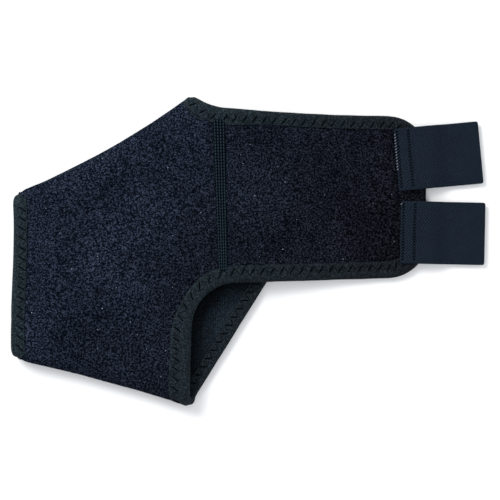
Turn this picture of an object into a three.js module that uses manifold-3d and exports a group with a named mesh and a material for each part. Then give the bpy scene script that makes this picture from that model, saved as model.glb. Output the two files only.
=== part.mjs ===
// Ankle brace lying flat with its front up: a neoprene foot sleeve that is open at the toe
// and at the heel, a panel that wraps round the ankle, a tape bound over every edge, and two
// elastic straps with hook pads. Millimetres, +Z up. X runs from the toe opening to the
// strap ends, and while it is modelled X is 0 at the fold line, where the sleeve is widest.

import * as THREE from "three";
import Module from "manifold-3d";

const wasm = await Module();
wasm.setup();
const { lerp, smoothstep, degToRad } = THREE.MathUtils;

// Cloth, tape and the gap between sewn pieces
const wall = 3;
const clearance = 0.3;
const tapeThickness = 0.8;
const tapeWidth = 9;

// Foot sleeve: a flattened tube from the toe opening to the fold line
const sleeveLength = 112;
const sleeveHeight = 13;
const toeWidth = 105.6;
const toeOffset = -16;
const toeCornerLength = 9;
const toeCornerDrop = 5.5;
const heelWidth = 197;

// Share of the way from the toe's width to the heel's width, at the two folds
const foldRows = [
  { along: 0, upper: 0, lower: 0 },
  { along: 0.18, upper: 0.13, lower: 0.16 },
  { along: 0.37, upper: 0.3, lower: 0.33 },
  { along: 0.55, upper: 0.47, lower: 0.52 },
  { along: 0.7, upper: 0.635, lower: 0.67 },
  { along: 0.85, upper: 0.805, lower: 0.84 },
  { along: 1, upper: 1, lower: 1 },
];

// Front of the heel opening: a leaning upright, then a bend into the wrap's lower edge
const heelLean = 1.6;
const heelBendRadius = 28.5;

// Ankle wrap, from the seam to its rounded end
const seamDistance = 20;
const seamLean = 2.6;
const wrapLength = 133;
const wrapTop = 86.4;
const wrapTopFlare = 4.5;
const wrapBottom = -20;
const wrapBottomRise = 2.6;
const wrapCornerRadius = 28;
const wrapDrop = 12;
const wrapSettle = 128;

// Back wing, whose slanted edge shows inside the heel opening and whose end the wrap hides
const backReach = 56;
const backTopInset = 4;
const backSlant = 58.1;

// Flatlock seam band between the sleeve and the wrap
const seamBandTopWidth = 7.4;
const seamBandBottomWidth = 5.4;
const seamBandThickness = 0.8;

// Straps, each with the upper corner it is sewn from and its turn in degrees. The corner lies in
// from the wrap's end by a share of its corner radius, and below its top by a share of its height.
const strapThickness = 1.6;
const strapWidth = 40;
const strapLength = 54.5;
const strapSink = 12;
const straps = [
  { name: "upper_strap", pad: "upper_hook_pad", inFromEnd: 0.84, below: 0.08, turn: 5.4 },
  { name: "lower_strap", pad: "lower_hook_pad", inFromEnd: 0.67, below: 0.51, turn: -1.2 },
];
const padLength = 26;
const padMargin = 2.5;
const padThickness = 1.4;

// Mesh steps
const foldSegments = 6;
const toeSegments = 4;
const acrossSegments = 18;
const rowStep = 11;
const arcSegments = 6;
const sliver = 0.004;

// Sizes that follow from the ones above
const tapeBuild = tapeThickness + clearance;
const foldRadius = sleeveHeight / 2;
const midRadius = foldRadius - wall / 2;
const floorLevel = wall / 2;
const frontLevel = sleeveHeight - wall / 2;
const layerSplit = wall + 2 * tapeBuild + clearance;
const liftFlat = tapeWidth + rowStep / 2;
const liftEase = rowStep;
const seamTop = wrapTop + wrapTopFlare;
const wrapEnd = seamDistance + wrapLength;
const cornerStart = wrapEnd - wrapCornerRadius;
const peak = new THREE.Vector2(0, heelWidth / 2);
const tip = new THREE.Vector2(0, -heelWidth / 2);
const far = heelWidth;
const bend = new THREE.Vector2(heelLean + heelBendRadius, wrapBottom - heelBendRadius);

const materials = {
  neoprene: new THREE.MeshStandardMaterial({ color: 0x14161f, roughness: 0.95, metalness: 0 }),
  tape: new THREE.MeshStandardMaterial({ color: 0x262d31, roughness: 0.85, metalness: 0 }),
  thread: new THREE.MeshStandardMaterial({ color: 0x1c2626, roughness: 0.8, metalness: 0 }),
  elastic: new THREE.MeshStandardMaterial({ color: 0x212a33, roughness: 0.85, metalness: 0 }),
  hook: new THREE.MeshStandardMaterial({ color: 0x15171a, roughness: 0.6, metalness: 0 }),
};

// Evenly spaced values, the first one left out
const spread = (count, from, to) =>
  Array.from({ length: count }, (_, i) => lerp(from, to, (i + 1) / count));

const arc = (centre, radius, from, to) => [from, ...spread(arcSegments, from, to)].map((turn) =>
  new THREE.Vector2(radius, 0).rotateAround(new THREE.Vector2(), degToRad(turn)).add(centre));

// Finished top edge: it falls from the peak to the seam, then eases along the wrap
function topEdgeY(x) {
  if (x < seamDistance) {
    return seamTop + (peak.y - seamTop) * (1 - x / seamDistance) ** 1.25;
  }
  const share = Math.min(1, (x - seamDistance) / (cornerStart - seamDistance));
  return wrapTop + wrapTopFlare * (1 - share) ** 2;
}

const topStations = [...spread(4, 0, seamDistance), ...spread(8, seamDistance, cornerStart)];

// Finished outline of the front's open edges, from below the tip round to beyond the peak
function frontOutline() {
  const low = new THREE.Vector2(cornerStart, wrapBottom + wrapBottomRise + wrapCornerRadius);
  const high = new THREE.Vector2(cornerStart, wrapTop - wrapCornerRadius);
  const top = topStations.map((x) => new THREE.Vector2(x, topEdgeY(x))).reverse();
  return [tip, ...arc(bend, heelBendRadius, 180, 90), ...arc(low, wrapCornerRadius, -90, 0),
    ...arc(high, wrapCornerRadius, 0, 90).slice(0, -1), ...top, peak];
}

// Finished outline of the back's open edges: the slanted heel edge, the end and the top
function backOutline() {
  const slantEnd = tip.clone().add(new THREE.Vector2(1, Math.tan(degToRad(backSlant)))
    .multiplyScalar(backReach));
  const top = [...topStations.filter((x) => x < backReach - tapeWidth), backReach].map((x) =>
    new THREE.Vector2(x, topEdgeY(x) - backTopInset * smoothstep(x, 0, seamDistance)));
  return [tip, slantEnd, ...top.reverse(), peak];
}

// An outline moved inwards, with straight tails past its ends
function insetOutline(outline, inset) {
  const tail = (end, next) => end.clone().add(end.clone().sub(next).setLength(sleeveLength / 3));
  const whole = [tail(outline[0], outline[1]), ...outline, tail(outline.at(-1), outline.at(-2))];
  const sides = whole.slice(1).map((point, i) => point.clone().sub(whole[i]).normalize());
  return whole.map((point, i) => {
    const before = sides[Math.max(0, i - 1)];
    const after = sides[Math.min(sides.length - 1, i)];
    const mitre = before.clone().add(after).normalize();
    const inward = new THREE.Vector2(-mitre.y, mitre.x);
    return point.clone().addScaledVector(inward, inset / mitre.dot(after));
  });
}

// Nearness to a bound edge: 1 under the tape and 0 well away from it
function nearEdge(x, y, line) {
  const here = new THREE.Vector3(x, y, 0);
  const side = new THREE.Line3();
  const nearest = new THREE.Vector3();
  let distance = Math.abs(x + sleeveLength);
  for (let i = 1; i < line.length; i += 1) {
    side.start.set(line[i - 1].x, line[i - 1].y, 0);
    side.end.set(line[i].x, line[i].y, 0);
    distance = Math.min(distance, side.closestPointToPoint(here, true, nearest).distanceTo(here));
  }
  return 1 - smoothstep(distance, liftFlat, liftFlat + liftEase);
}

// Bound edges stand off the floor by what the tape adds under them
const outlines = { front: frontOutline(), back: backOutline() };
const frontLift = (x, y) => tapeBuild * nearEdge(x, y, outlines.front);
const backLift = (x, y) => tapeBuild * nearEdge(x, y, outlines.back);

// The front leaves the top of the sleeve and comes down to the floor before the straps
const frontHeight = (x) => lerp(frontLevel, floorLevel, smoothstep(x, wrapDrop, wrapSettle));

// Linear reading of one column of the fold table at a share of the sleeve's length
function readFold(column, along) {
  const next = Math.max(1, foldRows.findIndex((row) => row.along >= along));
  const [a, b] = foldRows.slice(next - 1, next + 1);
  return lerp(a[column], b[column], (along - a.along) / (b.along - a.along));
}

// Upper and lower fold at a station, with rounded toe corners. Past the fold line the lower
// one runs just outside the edges that the cloth is cut to.
function foldOutline(x) {
  const along = THREE.MathUtils.clamp(1 + x / sleeveLength, 0, 1);
  const drop = toeCornerDrop * Math.max(0, 1 - along * sleeveLength / toeCornerLength) ** 2;
  const upper = lerp(toeOffset + toeWidth / 2, peak.y, readFold("upper", along));
  const lower = lerp(toeOffset - toeWidth / 2, tip.y, readFold("lower", along));
  const slanted = lower + Math.tan(degToRad(backSlant)) * Math.max(0, x - foldRadius);
  return { upper: upper - drop, lower: Math.min(slanted, wrapBottom - 2 * foldRadius) + drop };
}

// One closed row of cloth points round the tube: front down, lower fold, back up, upper fold
function tubeRow(x) {
  const { upper, lower } = foldOutline(x);
  const high = upper - foldRadius;
  const low = lower + foldRadius;
  const downs = [high, ...spread(acrossSegments, high, low)];
  const front = downs.map((y) => new THREE.Vector3(x, y, frontHeight(x) + frontLift(x, y)));
  const back = downs.map((y) => new THREE.Vector3(x, y, floorLevel + backLift(x, y))).reverse();
  const fold = (from, to, side) => spread(foldSegments, 0, Math.PI).slice(0, -1).map((angle) => {
    const point = from.clone().lerp(to, (1 - Math.cos(angle)) / 2);
    point.y += side * midRadius * Math.sin(angle);
    return point;
  });
  return [...front, ...fold(front.at(-1), back[0], -1), ...back, ...fold(back.at(-1), front[0], 1)];
}

// One open row past the back wing, where only the wrap goes on
function wrapRow(x, like) {
  return like.map(({ y }) => new THREE.Vector3(x, y, frontHeight(x) + frontLift(x, y)));
}

const cornerX = toeCornerLength - sleeveLength;
const tubeStations = [
  -sleeveLength - clearance,
  ...spread(toeSegments, -sleeveLength, cornerX),
  ...spread(Math.round(-cornerX / rowStep), cornerX, 0),
  ...spread(Math.ceil(backReach / rowStep), 0, backReach + clearance),
];
const wrapStations = spread(Math.round((wrapEnd - backReach) / rowStep), backReach, wrapEnd + clearance);
const tube = tubeStations.map(tubeRow);
const wrapRows = wrapStations.map((x) => wrapRow(x, tube.at(-1).slice(0, acrossSegments + 1)));

// Points and faces of the whole cloth before it is cut to its outlines
const ring = tube[0].length;
const clothPoints = [...tube, ...wrapRows].flat();
const clothFaces = [];
const spanRows = (a, b, count, size) => {
  for (let j = 0; j < count; j += 1) {
    const next = (j + 1) % size;
    clothFaces.push([a + j, a + next, b + next, b + j]);
  }
};
tube.slice(1).forEach((_, i) => spanRows(i * ring, (i + 1) * ring, ring, ring));
wrapRows.forEach((row, i) => {
  const b = tube.length * ring + i * row.length;
  spanRows(i === 0 ? b - ring : b - row.length, b, row.length - 1, row.length);
});

// A closed solid round the faces of a surface, with half its thickness on each side
function thicken(points, faces, half) {
  const normals = points.map(() => new THREE.Vector3());
  const sides = new Map();
  for (const face of faces) {
    const [a, b, c, d] = face.map((i) => points[i]);
    const normal = c.clone().sub(a).cross(d.clone().sub(b));
    face.forEach((i, n) => {
      const next = face[(n + 1) % 4];
      normals[i].add(normal);
      sides.set(`${i},${next}`, [i, next]);
    });
  }
  const skin = (side) => points.map((point, i) =>
    point.clone().addScaledVector(normals[i].normalize(), side * half).toArray()).flat();
  const under = (i) => i + points.length;
  const index = faces.flatMap(([a, b, c, d]) => [a, b, c, a, c, d,
    under(c), under(b), under(a), under(d), under(c), under(a)]);
  for (const [a, b] of sides.values()) {
    if (!sides.has(`${b},${a}`)) {
      index.push(b, a, under(a), b, under(a), under(b));
    }
  }
  return toSolid([...skin(1), ...skin(-1)], index);
}

function toSolid(position, index) {
  return new wasm.Manifold(new wasm.Mesh({
    numProp: 3,
    vertProperties: new Float32Array(position),
    triVerts: new Uint32Array(index),
  }));
}

// A straight-sided solid over a plan outline, between two heights
function prism(outline, from, to) {
  const faces = THREE.ShapeUtils.triangulateShape(outline, []);
  const count = outline.length;
  const position = [from, to].flatMap((z) => outline.flatMap(({ x, y }) => [x, y, z]));
  const index = faces.flatMap(([a, b, c]) => [c, b, a, a + count, b + count, c + count]);
  outline.forEach((_, a) => {
    const b = (a + 1) % count;
    index.push(a, b, b + count, a, b + count, a + count);
  });
  return toSolid(position, index);
}

const slab = (x0, x1, z0, z1) => prism([[x0, -far], [x1, -far], [x1, far], [x0, far]]
  .map(([x, y]) => new THREE.Vector2(x, y)), z0, z1);

// Below the split lies the back, which ends at its reach; all the rest is the front
const backSpace = slab(-far, backReach + 2 * clearance, -sleeveHeight, layerSplit);
function inside(outline, inset, height = 3 * sleeveHeight) {
  const toe = inset - sleeveLength;
  const line = insetOutline(outline, inset);
  const corners = [new THREE.Vector2(toe, far), new THREE.Vector2(toe, -far)];
  return prism([...line, ...corners], -height, height);
}
const trim = (solid, spaceOf) =>
  solid.subtract(backSpace).intersect(spaceOf(outlines.front))
    .add(solid.intersect(backSpace).intersect(spaceOf(outlines.back)));

const group = new THREE.Group();
function addMesh(name, geometry, material) {
  geometry.computeVertexNormals();
  const mesh = new THREE.Mesh(geometry, material);
  mesh.name = name;
  group.add(mesh);
}

// Keeps the piece itself and drops the specks and slivers that cutting can leave
function addSolid(name, solid, material) {
  const bodies = solid.simplify(sliver).decompose().sort((a, b) => b.volume() - a.volume());
  const mesh = bodies[0].getMesh();
  const geometry = new THREE.BufferGeometry();
  geometry.setAttribute("position", new THREE.Float32BufferAttribute(mesh.vertProperties, 3));
  geometry.setIndex([...mesh.triVerts]);
  addMesh(name, geometry, material);
}

// Sleeve and wrap, parted at the seam with half the clearance on each side
const seamX = (y) => seamDistance - seamLean * (y - wrapBottom) / (seamTop - wrapBottom) + seamLean / 2;
const pastSeam = (gap) => prism([
  new THREE.Vector2(seamX(-far) + gap, -far), new THREE.Vector2(2 * far, -far),
  new THREE.Vector2(2 * far, far), new THREE.Vector2(seamX(far) + gap, far),
], -sleeveHeight, 3 * sleeveHeight).subtract(backSpace);
const clothOf = (half) => thicken(clothPoints, clothFaces, half);
const cloth = trim(clothOf(wall / 2), (outline) => inside(outline, tapeBuild));
addSolid("foot_sleeve", cloth.subtract(pastSeam(-clearance / 2)), materials.neoprene);
addSolid("ankle_wrap", cloth.intersect(pastSeam(clearance / 2)), materials.neoprene);

// The tape is the cloth's edge strip made thicker, less the cloth and its clearance
const tapeSpace = (outline) => inside(outline, 0).subtract(inside(outline, tapeWidth, far));
const tape = trim(clothOf(wall / 2 + tapeBuild), tapeSpace)
  .subtract(trim(clothOf(wall / 2 + clearance), (outline) => inside(outline, tapeThickness)));
const tapeEnd = wrapEnd - wrapCornerRadius / 2;
addSolid("toe_binding", tape.intersect(slab(-far, -sleeveLength / 2, -far, far)), materials.tape);
addSolid("edge_binding", tape.intersect(slab(-sleeveLength / 2, tapeEnd, -far, far)), materials.tape);

// A thin strip of cloth laid along rows of points
function addStrip(name, rows, thickness, material) {
  const width = rows[0].length;
  const faces = rows.slice(1).flatMap((_, i) => rows[0].slice(1).map((_, j) =>
    [i * width + j, i * width + j + 1, (i + 1) * width + j + 1, (i + 1) * width + j]));
  addSolid(name, thicken(rows.flat(), faces, thickness / 2), material);
}

// Seam band, on the front between the two tapes
const seamBandRise = wall / 2 + clearance + seamBandThickness / 2;
const seamFrom = topEdgeY(seamDistance) - tapeWidth - clearance;
const seamTo = wrapBottom + tapeWidth + clearance;
const seamSide = (side) => [seamFrom, ...spread(acrossSegments, seamFrom, seamTo)].map((y, i) => {
  const width = lerp(seamBandTopWidth, seamBandBottomWidth, i / acrossSegments);
  const x = seamX(y) + side * width / 2;
  return new THREE.Vector3(x, y, frontHeight(x) + frontLift(x, y) + seamBandRise);
});
addStrip("wrap_seam", [-1, 0, 1].map(seamSide), seamBandThickness, materials.thread);

// Straps lie on the wrap and over its tape, then sink to the hook pads on the floor
const strapOnWrap = (x, y) => frontHeight(x) + wall / 2 + clearance + 2 * frontLift(x, y);
const strapHeight = (x, y) => strapThickness / 2 + lerp(strapOnWrap(x, y), padThickness + clearance,
  smoothstep(x, wrapEnd, wrapEnd + strapSink));

for (const { name, pad, inFromEnd, below, turn } of straps) {
  const corner = new THREE.Vector2(wrapEnd - inFromEnd * wrapCornerRadius,
    lerp(wrapTop, wrapBottom, below));
  const place = (along, down) => new THREE.Vector2(along, -down)
    .rotateAround(new THREE.Vector2(), degToRad(turn)).add(corner);
  const rows = [0, ...spread(12, 0, strapLength)].map((along) =>
    [0, ...spread(8, 0, strapWidth)].map((down) => {
      const { x, y } = place(along, down);
      return new THREE.Vector3(x, y, strapHeight(x, y));
    }));
  addStrip(name, rows, strapThickness, materials.elastic);

  const middle = place(strapLength - padMargin - padLength / 2, strapWidth / 2);
  const geometry = new THREE.BoxGeometry(padLength, strapWidth - 2 * padMargin, padThickness);
  geometry.rotateZ(degToRad(turn));
  geometry.translate(middle.x, middle.y, padThickness / 2);
  addMesh(pad, geometry, materials.hook);
}

// The origin is under the middle of the whole brace, on the surface it lies on
const box = new THREE.Box3().setFromObject(group);
const centre = box.getCenter(new THREE.Vector3());
group.position.set(-centre.x, -centre.y, -box.min.z);

export default group;
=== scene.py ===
# %% [markdown]
# # An ankle brace, laid flat
# The brace is a foot sleeve of neoprene with a panel that wraps round the ankle, bound with tape
# on its cut edges and closed by two elastic straps. The measured solids come first, as a fixed
# frame. Every piece is then made over its solid, so it keeps the true size and place.

# %% Load the frame
import math

import bmesh
import bpy
import numpy as np
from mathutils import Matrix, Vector
from mathutils.bvhtree import BVHTree


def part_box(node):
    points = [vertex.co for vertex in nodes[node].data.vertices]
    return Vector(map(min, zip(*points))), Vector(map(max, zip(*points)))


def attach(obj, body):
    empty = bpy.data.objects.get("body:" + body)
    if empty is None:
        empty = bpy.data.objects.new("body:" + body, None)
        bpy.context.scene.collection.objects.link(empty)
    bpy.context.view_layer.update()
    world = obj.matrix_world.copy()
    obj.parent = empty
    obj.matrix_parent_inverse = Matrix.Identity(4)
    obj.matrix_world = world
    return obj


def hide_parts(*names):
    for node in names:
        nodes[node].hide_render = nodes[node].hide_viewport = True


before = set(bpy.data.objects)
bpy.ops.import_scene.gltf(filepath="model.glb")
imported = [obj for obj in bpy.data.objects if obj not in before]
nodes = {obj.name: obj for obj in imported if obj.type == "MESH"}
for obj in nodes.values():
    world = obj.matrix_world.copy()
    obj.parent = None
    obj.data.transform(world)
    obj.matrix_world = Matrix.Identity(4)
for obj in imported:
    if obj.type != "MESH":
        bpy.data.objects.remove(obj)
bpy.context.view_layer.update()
print("solids:", sorted(nodes))

# %% [markdown]
# ## Camera, light and floor
# The brace lies on a white table and is seen from straight above. A long lens keeps the view
# almost without perspective, as a catalogue picture has it. One large soft lamp stands at the
# upper left, so that the pile and the weave are lit from the side, and a weaker one fills in.

# %% Camera
mm = 0.001
collection = bpy.context.scene.collection
PHOTO_PIXELS = 500
PIXEL = 0.64 * mm
FRAME_CENTRE = (250, 251.5)
LENS = 110
SENSOR = 36

camera = bpy.data.objects.new("camera", bpy.data.cameras.new("camera"))
camera.data.lens = LENS
camera.data.sensor_width = SENSOR
view_distance = PHOTO_PIXELS * PIXEL * LENS / SENSOR
camera.location = (0, (FRAME_CENTRE[1] - PHOTO_PIXELS / 2) * PIXEL, view_distance)
collection.objects.link(camera)
bpy.context.scene.camera = camera
print("camera height:", round(view_distance, 3), "m")


# %% Lamps and table
def area_lamp(name, place, size, watts, colour):
    """A square lamp that faces the middle of the brace."""
    lamp = bpy.data.objects.new(name, bpy.data.lights.new(name, "AREA"))
    lamp.data.size = size
    lamp.data.energy = watts
    lamp.data.color = colour
    lamp.location = place
    lamp.rotation_euler = (-Vector(place)).to_track_quat("-Z", "Y").to_euler()
    collection.objects.link(lamp)


area_lamp("key_lamp", (-0.75, 0.75, 0.85), 0.7, 18, (1.0, 0.99, 0.97))
area_lamp("fill_lamp", (0.9, -0.5, 0.9), 1.2, 5, (0.93, 0.96, 1.0))

world = bpy.data.worlds.new("studio")
world.use_nodes = True
world.node_tree.nodes["Background"].inputs["Color"].default_value = (0.95, 0.97, 1.0, 1)
world.node_tree.nodes["Background"].inputs["Strength"].default_value = 0.75
bpy.context.scene.world = world
bpy.context.scene.view_settings.view_transform = "Standard"

table_bm = bmesh.new()
bmesh.ops.create_grid(table_bm, x_segments=1, y_segments=1, size=1.5)
table_mesh = bpy.data.meshes.new("table_top")
table_bm.to_mesh(table_mesh)
table_bm.free()
table_top = bpy.data.objects.new("table_top", table_mesh)
collection.objects.link(table_top)
print("lamps and table made")

# %% [markdown]
# ## Helpers for sewn pieces
# A sewn piece is a flat strip that is laid on something. So most pieces here start as a flat grid
# that the grid operator makes, and each of its points is then moved to its place on the brace.
# The grid's own coordinates stay on the piece as its UV map, in metres, so that a weave or a rib
# follows the strip round every bend.


# %% Grid and mesh helpers
def add_piece(name, bm, material):
    """Makes an object from a bmesh, smooth shaded, riding on the brace's one body."""
    mesh = bpy.data.meshes.new(name)
    bm.to_mesh(mesh)
    bm.free()
    for face in mesh.polygons:
        face.use_smooth = True
    piece = bpy.data.objects.new(name, mesh)
    collection.objects.link(piece)
    piece.data.materials.append(material)
    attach(piece, "root")
    return piece


def laid_grid(bm, columns, rows, width, length, place):
    """Adds a grid whose share (u, v) goes to place(u, v). Its UVs run to length and width."""
    made = bmesh.ops.create_grid(bm, x_segments=columns, y_segments=rows, size=0.5)["verts"]
    uv = bm.loops.layers.uv.get("UVMap") or bm.loops.layers.uv.new("UVMap")
    share = {vert: (vert.co.x + 0.5, vert.co.y + 0.5) for vert in made}
    for face in {face for vert in made for face in vert.link_faces}:
        for loop in face.loops:
            u, v = share[loop.vert]
            loop[uv].uv = (u * length, v * width)
    for vert, (u, v) in share.items():
        vert.co = place(u, v)
    return made


def merged_copy(name, distance=0.00001):
    """A copy of a solid's mesh with its loose triangles joined."""
    bm = bmesh.new()
    bm.from_mesh(nodes[name].data)
    bmesh.ops.remove_doubles(bm, verts=bm.verts, dist=distance)
    return bm


def final_mesh(piece):
    """Replaces a piece's mesh by what its modifiers make of it."""
    graph = bpy.context.evaluated_depsgraph_get()
    mesh = bpy.data.meshes.new_from_object(piece.evaluated_get(graph))
    piece.modifiers.clear()
    piece.data = mesh


def smoothstep(x, low, high):
    t = min(1.0, max(0.0, (x - low) / (high - low)))
    return t * t * (3 - 2 * t)


print("helpers ready")

# %% [markdown]
# ## Finishes
# All the cloth is nearly black, so its character comes from small things: the loops of the pile, the
# ribs of the tape, the weave of the elastic, and the way each catches the side light. The effects
# that several cloths share are node groups: a speckle of fibres with a few painted glints, and a
# slow change of tone together with painted light that makes the cloth lighter and bluer towards the
# upper left. Pictures of cloth could do this too, but a pattern made by nodes has no seams and stays
# sharp close up. The gloss of cloth is low, so each shader's specular level is turned down.


# %% Node helpers
def add_node(tree, kind, inputs=None, **settings):
    """Adds a node and fills its sockets with values or with other nodes' outputs."""
    node = tree.nodes.new(kind)
    for key, value in settings.items():
        setattr(node, key, value)
    for socket, value in (inputs or {}).items():
        if isinstance(value, bpy.types.NodeSocket):
            tree.links.new(value, node.inputs[socket])
        else:
            node.inputs[socket].default_value = value
    return node


def calc(tree, operation, first, second=0.0, third=0.0, clamp=False):
    """One Math node's result."""
    node = add_node(tree, "ShaderNodeMath", {0: first, 1: second, 2: third},
                    operation=operation, use_clamp=clamp)
    return node.outputs[0]


def blend_colours(tree, share, first, second, way="MIX"):
    node = add_node(tree, "ShaderNodeMix", {0: share, 6: first, 7: second},
                    data_type="RGBA", blend_type=way)
    return node.outputs[2]


def shade(red, green, blue):
    """A colour of 0 to 255 as seen on a screen, as the light that a shader works with."""
    return (*[c / 255 / 12.92 if c <= 10 else ((c / 255 + 0.055) / 1.055) ** 2.4
              for c in (red, green, blue)], 1)


def new_group(name, inputs, outputs):
    """A node group with float or vector sockets. Returns its tree, input node and output node."""
    tree = bpy.data.node_groups.new(name, "ShaderNodeTree")
    for socket, kind in inputs.items():
        tree.interface.new_socket(socket, in_out="INPUT", socket_type=kind)
    for socket in outputs:
        tree.interface.new_socket(socket, in_out="OUTPUT", socket_type="NodeSocketFloat")
    return tree, tree.nodes.new("NodeGroupInput"), tree.nodes.new("NodeGroupOutput")


print("node helpers ready")

# %% Speckle of fibres
FIBRE_SPECKLE_AND_GLINT, inside, result = new_group(
    "fibre_speckle_and_glint", {"Vector": "NodeSocketVector", "Scale": "NodeSocketFloat"},
    ["Height", "Light", "PaintedGlint"])
loops = add_node(FIBRE_SPECKLE_AND_GLINT, "ShaderNodeTexVoronoi",
                 {"Vector": inside.outputs["Vector"], "Scale": inside.outputs["Scale"]})
fuzz = add_node(FIBRE_SPECKLE_AND_GLINT, "ShaderNodeTexNoise",
                {"Vector": inside.outputs["Vector"],
                 "Scale": calc(FIBRE_SPECKLE_AND_GLINT, "MULTIPLY", inside.outputs["Scale"], 0.75),
                 "Detail": 2.0, "Roughness": 0.6})
# A very few spots are painted glints, white points of light put into the colour.
glint = add_node(FIBRE_SPECKLE_AND_GLINT, "ShaderNodeTexVoronoi",
                 {"Vector": inside.outputs["Vector"],
                  "Scale": calc(FIBRE_SPECKLE_AND_GLINT, "MULTIPLY", inside.outputs["Scale"], 0.5)})
chance = add_node(FIBRE_SPECKLE_AND_GLINT, "ShaderNodeSeparateColor", {"Color": glint.outputs["Color"]})
rare = calc(FIBRE_SPECKLE_AND_GLINT, "GREATER_THAN", chance.outputs[0], 0.988)
spot = calc(FIBRE_SPECKLE_AND_GLINT, "LESS_THAN", glint.outputs["Distance"], 0.2)
bright_spot = calc(FIBRE_SPECKLE_AND_GLINT, "MULTIPLY", rare, spot)
bright = calc(FIBRE_SPECKLE_AND_GLINT, "MULTIPLY", bright_spot, chance.outputs[1])
FIBRE_SPECKLE_AND_GLINT.links.new(bright, result.inputs["PaintedGlint"])
light_share = add_node(FIBRE_SPECKLE_AND_GLINT, "ShaderNodeMapRange",
                       {0: fuzz.outputs[0], 1: 0.46, 2: 0.7, 3: 0.0, 4: 1.0})
FIBRE_SPECKLE_AND_GLINT.links.new(light_share.outputs[0], result.inputs["Light"])
loop_height = calc(FIBRE_SPECKLE_AND_GLINT, "SUBTRACT", 1.0, loops.outputs["Distance"])
FIBRE_SPECKLE_AND_GLINT.links.new(calc(FIBRE_SPECKLE_AND_GLINT, "ADD", loop_height, fuzz.outputs[0]),
                        result.inputs["Height"])
print("group:", FIBRE_SPECKLE_AND_GLINT.name)

# %% Slow change of tone, and painted light across the cloth
TONE_AND_PAINTED_LIGHT, inside, result = new_group("tone_and_painted_light", {"Vector": "NodeSocketVector"},
                                      ["Blotch", "PaintedLightAcross"])
patches = add_node(TONE_AND_PAINTED_LIGHT, "ShaderNodeTexNoise",
                   {"Vector": inside.outputs[0], "Scale": 28.0, "Detail": 3.0, "Roughness": 0.55})
blotch = add_node(TONE_AND_PAINTED_LIGHT, "ShaderNodeMapRange", {0: patches.outputs[0], 1: 0.36, 2: 0.64})
TONE_AND_PAINTED_LIGHT.links.new(blotch.outputs[0], result.inputs["Blotch"])
# The second output is partly painted light: it makes the cloth lighter and bluer towards the upper
# left, where the key lamp stands.
where = add_node(TONE_AND_PAINTED_LIGHT, "ShaderNodeSeparateXYZ", {0: inside.outputs[0]})
slant = calc(TONE_AND_PAINTED_LIGHT, "MULTIPLY", where.outputs[1], 0.45)
slanted = calc(TONE_AND_PAINTED_LIGHT, "SUBTRACT", where.outputs[0], slant)
across = add_node(TONE_AND_PAINTED_LIGHT, "ShaderNodeMapRange", {0: slanted, 1: -0.13, 2: 0.12},
                  interpolation_type="SMOOTHSTEP")
TONE_AND_PAINTED_LIGHT.links.new(across.outputs[0], result.inputs["PaintedLightAcross"])
print("group:", TONE_AND_PAINTED_LIGHT.name)


# %% A cloth's shader
def cloth_tree(material, specular, roughness, sheen=0.0):
    """Clears a material to a plain shader with low gloss. Returns its tree and shader."""
    material.use_nodes = True
    tree = material.node_tree
    shader = tree.nodes["Principled BSDF"]
    shader.inputs["Specular IOR Level"].default_value = specular
    shader.inputs["Roughness"].default_value = roughness
    shader.inputs["Sheen Weight"].default_value = sheen
    shader.inputs["Sheen Roughness"].default_value = 0.5
    return tree, shader


def speckle_of(tree, vector, scale):
    return add_node(tree, "ShaderNodeGroup", {"Vector": vector, "Scale": scale},
                    node_tree=FIBRE_SPECKLE_AND_GLINT)


def bump(tree, shader, height, strength, distance):
    node = add_node(tree, "ShaderNodeBump",
                    {"Height": height, "Strength": strength, "Distance": distance})
    tree.links.new(node.outputs[0], shader.inputs["Normal"])


print("cloth shader ready")

# %% [markdown]
# The pile is a navy black, bluer and lighter towards the toe and the upper left, warmer and darker
# towards the straps; that change is partly the cloth's own tone and partly painted light from the
# lamp at the upper left. Its loops are under a millimetre wide. Light fibres show as a grey speckle,
# and a very few white points are painted glints.

# %% Loop pile
PLUSH, LINING, TAPE, THREAD, PALE_THREAD, SEAM_THREAD, SEAM_GROUND, ELASTIC, HOOK = (
    bpy.data.materials.new(name) for name in (
        "loop_pile", "inner_knit", "binding_tape", "black_thread", "pale_thread",
        "seam_thread", "seam_ground", "elastic_webbing", "hook_tape"))

tree, shader = cloth_tree(PLUSH, specular=0.0, roughness=0.95)
spot_on = add_node(tree, "ShaderNodeTexCoord").outputs["Object"]
speckle = speckle_of(tree, spot_on, 1350.0)
tone = add_node(tree, "ShaderNodeGroup", {0: spot_on}, node_tree=TONE_AND_PAINTED_LIGHT)
# Painted light in part: the pile is lighter and bluer towards the upper left.
deep = blend_colours(tree, tone.outputs["PaintedLightAcross"], shade(6, 10, 18), shade(4, 5, 7))
lit = blend_colours(tree, tone.outputs["PaintedLightAcross"], shade(54, 62, 80), shade(38, 39, 48))
pile = blend_colours(tree, speckle.outputs["Light"], deep, lit)
dull = add_node(tree, "ShaderNodeMapRange", {0: tone.outputs["Blotch"], 3: 0.75, 4: 1.2})
pile = add_node(tree, "ShaderNodeVectorMath", {0: pile, "Scale": dull.outputs[0]},
                operation="SCALE").outputs[0]
# The rare white points are painted glints.
pile = blend_colours(tree, speckle.outputs["PaintedGlint"], pile, shade(150, 160, 180))
tree.links.new(pile, shader.inputs["Base Color"])
bump(tree, shader, speckle.outputs["Height"], 0.8, 0.6 * mm)
print("finish:", PLUSH.name)

# %% [markdown]
# The inner knit is smoother, with fine ribs along the foot.

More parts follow.
